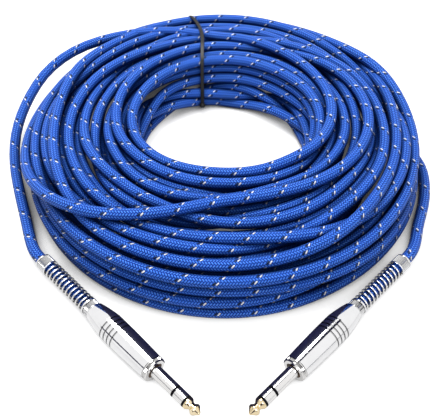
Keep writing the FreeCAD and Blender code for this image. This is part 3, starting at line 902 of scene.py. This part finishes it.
class CABLE_OT_contacts(Operator):
    """Finishes the pins and puts the knurl on each plug body's flange"""
    bl_idname = "cable.contacts"
    bl_label = "Pins and flanges"

    def execute(self, context):
        sizes = context.scene.cable_plugs
        nickel = finish_nodes("bright_nickel", metal_material, sizes.nickel, rough=0.1, grain=0.25)
        finish_nodes("gold_plate", metal_material, sizes.gold, rough=0.1, grain=0.3,
                     stain=(0.80, 0.62, 0.36))
        finish_nodes("black_insulator", plain_material, (0.006, 0.006, 0.008), rough=0.6, scale=1200.0,
                     relief=0.00001, Specular_IOR_Level=0.05)
        brown = finish_nodes("brown_washer", plain_material, (0.12, 0.07, 0.04), rough=0.5, scale=1500.0,
                             relief=0.00005, other=(0.07, 0.04, 0.02))
        knurl = knurl_growth()
        rim = softened([(-0.4, 4.2), (-0.4, 6.3), (0.1, 6.5), (0.1, 4.2)], reach=0.15)
        # Painted shade: a thin dark brown ring round the pin's shoulder stands for the shadowed recess in
        # the flange.
        recess_shade_ring = [(-0.06, 3.2), (-0.06, 4.25), (0.1, 4.25), (0.1, 3.2)]
        for side in SIDES:
            for name, outline, slot, material in (("flange_rim_", rim, "bright_nickel", nickel),
                                                  ("painted_recess_shade_", recess_shade_ring, "brown_washer", brown)):
                mesh = lathed(name + side, outline)
                mesh.transform(plug_place(side))
                piece(name + side, mesh, ROOT, material)
            name = "flange_knurl_" + side
            mesh = knurl.mesh(name, {"Teeth": sizes.flange_teeth, "Radius": 6.52, "Start": 0.3,
                                     "Length": 1.6, "Material": nickel})
            mesh.transform(plug_place(side))
            piece(name, mesh, ROOT)
        return {"FINISHED"}


class CABLE_OT_barrels(Operator):
    """Polishes the screwed barrels"""
    bl_idname = "cable.barrels"
    bl_label = "Barrels"

    def execute(self, context):
        sizes = context.scene.cable_plugs
        finish_nodes("polished_chrome", metal_material, sizes.chrome, rough=0.05, grain=0.15)
        return {"FINISHED"}


def collar_outline():
    """The collar's outline, and where its grip starts and ends and its grip's radius."""
    head_end, neck_end, grip_start, grip_end = 41.5, 46.7, 47.2, 50.5
    bore, head, neck, grip, core, rim = CORD_BORE_R, 4.7, 3.9, 4.45, 4.1, 4.75
    outline = [(COLLAR_START, bore), (COLLAR_START, head), (head_end, head), (head_end, neck),
               (neck_end, neck), (neck_end, grip), (grip_start, grip), (grip_start, core),
               (grip_end, core), (grip_end, rim), (COLLAR_END, rim), (COLLAR_END, bore)]
    return outline, grip_start, grip_end, grip


def cap_outline():
    """The end cap's outline, and where its grip starts and ends and its grip's radius."""
    grip_start, grip_end = CAP_START + 0.8, CAP_END - 0.8
    bore, rim, core, grip = CORD_BORE_R, 4.75, 4.3, 4.6
    outline = [(CAP_START, bore), (CAP_START, rim), (grip_start, rim), (grip_start, core),
               (grip_end, core), (grip_end, grip), (CAP_END, grip), (CAP_END, bore)]
    return outline, grip_start, grip_end, grip


class CABLE_OT_reliefs(Operator):
    """Makes the knurled collars and end caps and winds the springs"""
    bl_idname = "cable.reliefs"
    bl_label = "Strain reliefs"

    def execute(self, context):
        sizes = context.scene.cable_plugs
        chrome = NODES["barrel_a"].material_slots[0].material
        steel = finish_nodes("spring_wire", metal_material, sizes.nickel, rough=0.14, grain=0.3)
        knurl, spring = knurl_growth(), spring_growth()
        for side in SIDES:
            body = "strain_relief_" + side
            for node, shape in (("spring_collar", collar_outline()), ("spring_end_cap", cap_outline())):
                outline, start, end, radius = shape
                name = "knurled_" + node + "_" + side
                ridges = knurl.mesh(name, {"Teeth": sizes.grip_teeth, "Radius": radius, "Start": start,
                                           "Length": end - start, "Material": chrome})
                mesh = joined(name, [lathed(name, softened(outline, reach=0.12)), ridges])
                mesh.transform(plug_place(side))
                obj = piece(name, mesh, body, chrome)
                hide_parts(node + "_" + side)
            name = "wound_spring_" + side
            wire = sizes.wire / MM
            mesh = spring.mesh(name, {"Curls": sizes.curls, "Radius": 4.2, "Wire": wire,
                                      "Start": COLLAR_END + wire, "Material": steel,
                                      "Length": CAP_START - COLLAR_END - 2 * wire})
            mesh.transform(plug_place(side))
            obj = piece(name, mesh, body)
            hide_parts("strain_spring_" + side)
        return {"FINISHED"}


class CABLE_OT_inner_parts(Operator):
    """Finishes the lugs, washers and wires inside the plugs"""
    bl_idname = "cable.inner_parts"
    bl_label = "Inner parts"

    def execute(self, context):
        finish_nodes("tinned_brass", metal_material, (0.72, 0.7, 0.64), rough=0.28, grain=0.5,
                     stain=(0.6, 0.5, 0.34))
        finish_nodes("solder", metal_material, (0.66, 0.66, 0.64), rough=0.33, grain=0.8)
        finish_nodes("bare_copper", twisted_material, (0.78, 0.42, 0.24), dark=(0.22, 0.08, 0.04))
        finish_nodes("clear_liner", plain_material, (0.85, 0.87, 0.88), rough=0.2, scale=500.0,
                     relief=0.00002, Transmission_Weight=0.75, IOR=1.45)
        finish_nodes("grey_jacket", plain_material, (0.16, 0.16, 0.17), rough=0.6, scale=1100.0,
                     relief=0.00004)
        for slot, colour in (("red_insulation", (0.62, 0.04, 0.03)),
                             ("white_insulation", (0.85, 0.85, 0.83))):
            finish_nodes(slot, plain_material, colour, rough=0.4, scale=1300.0, relief=0.00002)
        return {"FINISHED"}


def card_mesh(name, side, angle, width):
    """A strip far beside a plug, turned so that its reflection runs along the barrel as a thin dark line."""
    middle_of_barrel, away, half_length = 25.0, 700.0, 170.0
    outward, rearward = 0.9, 0.44
    way = plug_way(side)
    outer = Vector((way.y, -way.x, 0.0)) * (1 if side == "b" else -1)
    lean = math.radians(angle)
    out = Vector((0, 0, math.cos(lean))) + outer * math.sin(lean)
    start = plug_point(side, middle_of_barrel) + COIL_CENTRE
    middle = start + (out * outward + way * rearward) * away
    across = way.cross(out).normalized()
    corners = []
    for a, b in ((-1, -1), (1, -1), (1, 1), (-1, 1)):
        corners.append((middle + way * a * half_length + across * b * width / 2) * MM)
    return quad(name, corners)


def near_card_mesh(name, side):
    """A card between a plug and the coil, for the wide dark reflection on that side of the metal, a painted
    reflection that stands for the coil's shaded side.
    """
    front, rear, foot_aside, foot, top_aside, top = -35, 52, 8, 0.3, 24, 47
    way = plug_way(side)
    inward = Vector((-way.y, way.x, 0.0)) * (1 if side == "b" else -1)
    corners = []
    for x, aside, height in ((front, foot_aside, foot), (rear, foot_aside, foot),
                             (rear, top_aside, top), (front, top_aside, top)):
        point = plug_point(side, x) + COIL_CENTRE + inward * aside
        corners.append((point.x * MM, point.y * MM, height * MM))
    return quad(name, corners)


def front_card_mesh(name):
    """A wide card in front of the plugs' tips, in metres, for painted dark reflections on the tips."""
    half, low, low_away, high, high_away = 0.5, 0.12, 0.85, 0.42, 0.8
    return quad(name, [(-half, -low_away, low), (half, -low_away, low),
                       (half, -high_away, high), (-half, -high_away, high)])


def floor_material(colour):
    """Pale and glowing where it is open, with painted shade making it dark close under the cord and in the
    gaps between turns.
    """
    s = Shader("pale_floor")
    grain = s.noise(s.objects_place(), 60.0)
    tone = s.colours(grain, (0.3, [0.99 * c for c in colour]), (0.7, colour))
    seen_glow, mirrored_glow = 0.82, 0.35
    ray = s.add("ShaderNodeLightPath").outputs
    mirrored = s.math("MAXIMUM", ray["Is Glossy Ray"], ray["Is Transmission Ray"])
    seen = s.math("ADD", s.math("MULTIPLY", ray["Is Camera Ray"], seen_glow),
                  s.math("MULTIPLY", mirrored, mirrored_glow))
    # Painted shade: the glow fades and the colour turns near-black where the cord closes over the floor.
    open_sky = s.openness(0.04, samples=24)
    lit = s.scaled(open_sky, 0.25, 0.5, 0.0, 1.0)
    shaded = s.scaled(open_sky, 0.08, 0.28, 0.0, 1.0)
    matt = s.made("ShaderNodeBsdfDiffuse", {"Color": s.blend(shaded, (0.01, 0.01, 0.015), tone)})
    glow = s.made("ShaderNodeEmission", {"Strength": s.math("MULTIPLY", seen, lit)})
    s.link(s.made("ShaderNodeAddShader", {0: matt, 1: glow}), s.out.inputs["Surface"])
    return s.material


def card_material():
    # The cards' navy is a painted reflection: only the metal sees them.
    s = Shader("dark_card")
    cloth = s.noise(s.objects_place(), 300.0)
    navy = s.colours(cloth, (0.3, (0.003, 0.004, 0.045)), (0.7, (0.005, 0.006, 0.06)))
    return s.surface(Base_Color=navy, Roughness=0.9)


def studio_world(sky):
    """White where the camera, a reflection or clear stuff shows it, and dim as a light."""
    world = bpy.data.worlds.new("studio")
    bpy.context.scene.world = world
    world.use_nodes = True
    s = Nodes(world.node_tree)
    ray = s.add("ShaderNodeLightPath").outputs
    shown = s.math("MAXIMUM", ray["Is Camera Ray"], ray["Is Glossy Ray"])
    shown = s.math("MAXIMUM", shown, ray["Is Transmission Ray"])
    strength = s.made("ShaderNodeMapRange", {"Value": shown, "To Min": sky, "To Max": 1.0})
    back = s.tree.nodes["Background"]
    back.inputs["Color"].default_value = (1, 1, 1, 1)
    s.link(strength, back.inputs["Strength"])


def soft_lamp(name, place, width, power):
    """A square lamp that looks at the origin."""
    data = bpy.data.lights.new(name, "AREA")
    data.size = width
    data.energy = power
    lamp = bpy.data.objects.new(name, data)
    lamp.location = place
    lamp.rotation_euler = (-Vector(place)).to_track_quat("-Z", "Y").to_euler()
    bpy.context.scene.collection.objects.link(lamp)


def stage_piece(mesh, material):
    """An object of the stage, which isn't part of the cable."""
    obj = bpy.data.objects.new(mesh.name, mesh)
    mesh.materials.append(material)
    bpy.context.scene.collection.objects.link(obj)
    return obj


class CABLE_OT_stage(Operator):
    """Makes the pale floor, the sky, the lamps and the dark cards that only the metal reflects"""
    bl_idname = "cable.stage"
    bl_label = "Stage"

    def execute(self, context):
        sizes = context.scene.cable_stage
        context.scene.view_settings.view_transform = "Standard"
        far = 3.0
        floor = quad("floor", [(-far, -far, 0), (far, -far, 0), (far, far, 0), (-far, far, 0)])
        stage_piece(floor, floor_material(sizes.floor))
        studio_world(sizes.sky)
        soft_lamp("key_lamp", (-0.1, 0.3, 0.8), 0.4, sizes.key)
        soft_lamp("fill_lamp", (0.2, -0.7, 0.6), 0.6, sizes.fill)
        dark = card_material()
        for mesh in (card_mesh("card_over_right", "b", angle=-9.0, width=190.0),
                     card_mesh("card_at_left", "a", angle=66.0, width=110.0),
                     card_mesh("card_at_right", "b", angle=84.0, width=40.0),
                     near_card_mesh("card_beside_left", "a"), near_card_mesh("card_beside_right", "b"),
                     front_card_mesh("card_in_front")):
            card = stage_piece(mesh, dark)
            card.visible_camera = card.visible_diffuse = False
            card.visible_shadow = card.visible_transmission = False
        return {"FINISHED"}


class CABLE_PT_panel(Panel):
    """Lists the cable's pieces and their settings"""
    bl_idname = "CABLE_PT_panel"
    bl_label = "Instrument cable"
    bl_space_type = "VIEW_3D"
    bl_region_type = "UI"
    bl_category = "Cable"

    def draw(self, context):
        for operator in OPERATORS:
            self.layout.operator(operator.bl_idname)
        for name, group in SETTINGS.items():
            box = self.layout.box()
            for setting in group.__annotations__:
                box.prop(getattr(context.scene, name), setting)


OPERATORS = (CABLE_OT_camera, CABLE_OT_cord, CABLE_OT_tie, CABLE_OT_contacts, CABLE_OT_barrels,
             CABLE_OT_reliefs, CABLE_OT_inner_parts, CABLE_OT_stage)
SETTINGS = {"cable_cord": CordSizes, "cable_tie": TieSizes, "cable_plugs": PlugSizes,
            "cable_stage": StageSizes}
CLASSES = (*SETTINGS.values(), *OPERATORS, CABLE_PT_panel)


def register():
    for item in CLASSES:
        bpy.utils.register_class(item)
    for name, group in SETTINGS.items():
        setattr(bpy.types.Scene, name, PointerProperty(type=group))


def unregister():
    for name in SETTINGS:
        delattr(bpy.types.Scene, name)
    for item in reversed(CLASSES):
        bpy.utils.unregister_class(item)


def main():
    register()
    bpy.ops.cable.camera()
    bpy.ops.cable.cord()
    bpy.ops.cable.tie()
    bpy.ops.cable.contacts()
    bpy.ops.cable.barrels()
    bpy.ops.cable.reliefs()
    bpy.ops.cable.inner_parts()
    bpy.ops.cable.stage()
    bpy.context.view_layer.update()


if __name__ == "__main__":
    main()
